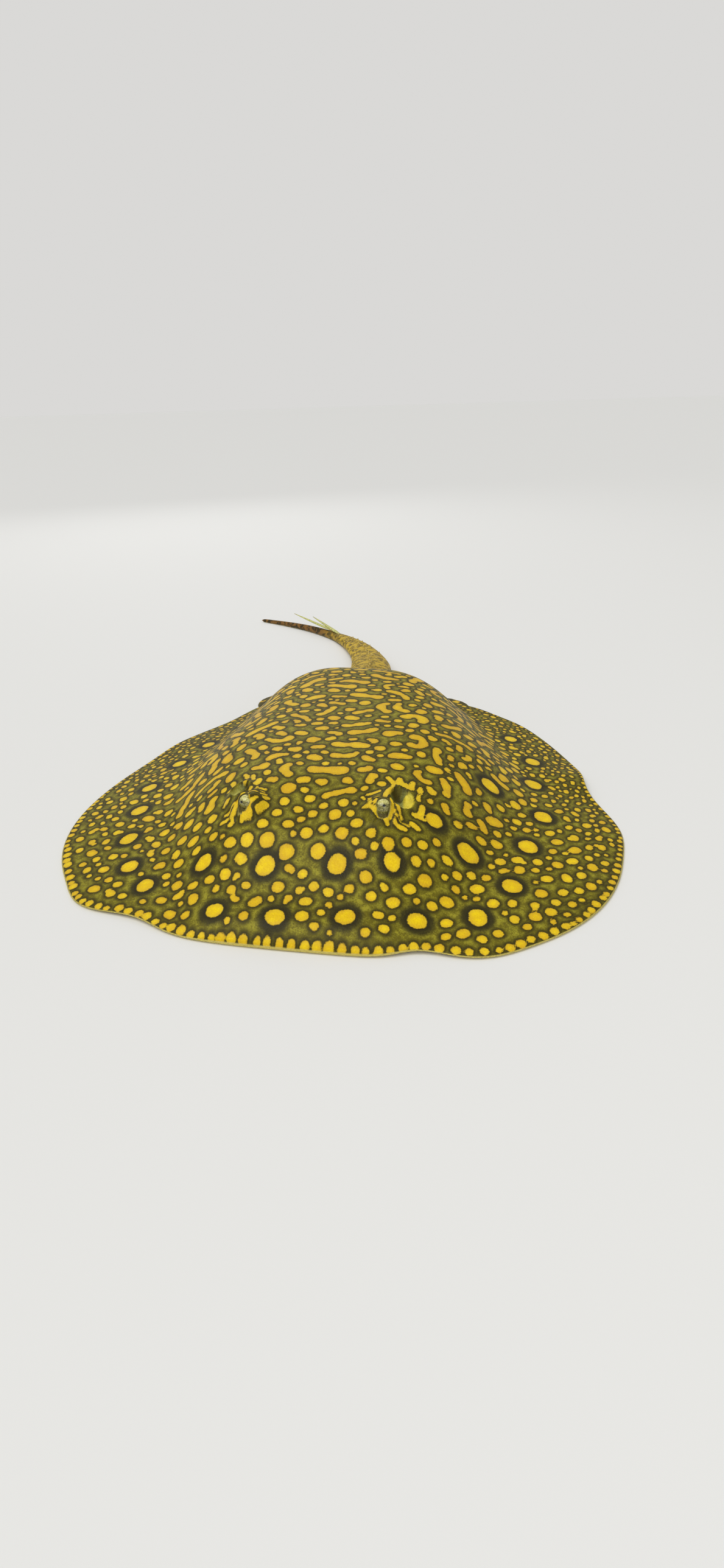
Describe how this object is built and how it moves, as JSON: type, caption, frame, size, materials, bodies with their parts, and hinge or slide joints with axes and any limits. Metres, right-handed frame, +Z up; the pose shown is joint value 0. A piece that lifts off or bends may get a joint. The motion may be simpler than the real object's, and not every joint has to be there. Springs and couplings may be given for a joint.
{
  "type": "freshwater stingray",
  "caption": "Life-size still model of an adult freshwater stingray lying on its belly, disc spread, tail curving to one side, spotted back.",
  "frame": {"origin": "middle of the disc on the resting plane, on the flat of the belly", "axes": "+Z up; -Y towards the snout, +Y towards the tail; +X is the animal's own left"},
  "size_m": [0.4707, 0.7923, 0.066],
  "materials": {
    "skin": "smooth wet skin, olive brown with yellow spots, whitish below",
    "eye": "glossy wet eye, silvery iris and dark pupil",
    "sting": "pale satin dentine with small barbs"
  },
  "bodies": {
    "root": {"head": "skin", "trunk": "skin", "pectoral_fin_right": "skin", "pectoral_fin_left": "skin", "pelvic_fin_right": "skin", "pelvic_fin_left": "skin", "tail_base": "skin", "tail_middle": "skin", "tail_tip": "skin", "eye_right": "eye", "eye_left": "eye", "sting_front": "sting", "sting_rear": "sting"}
  },
  "joints": []
}
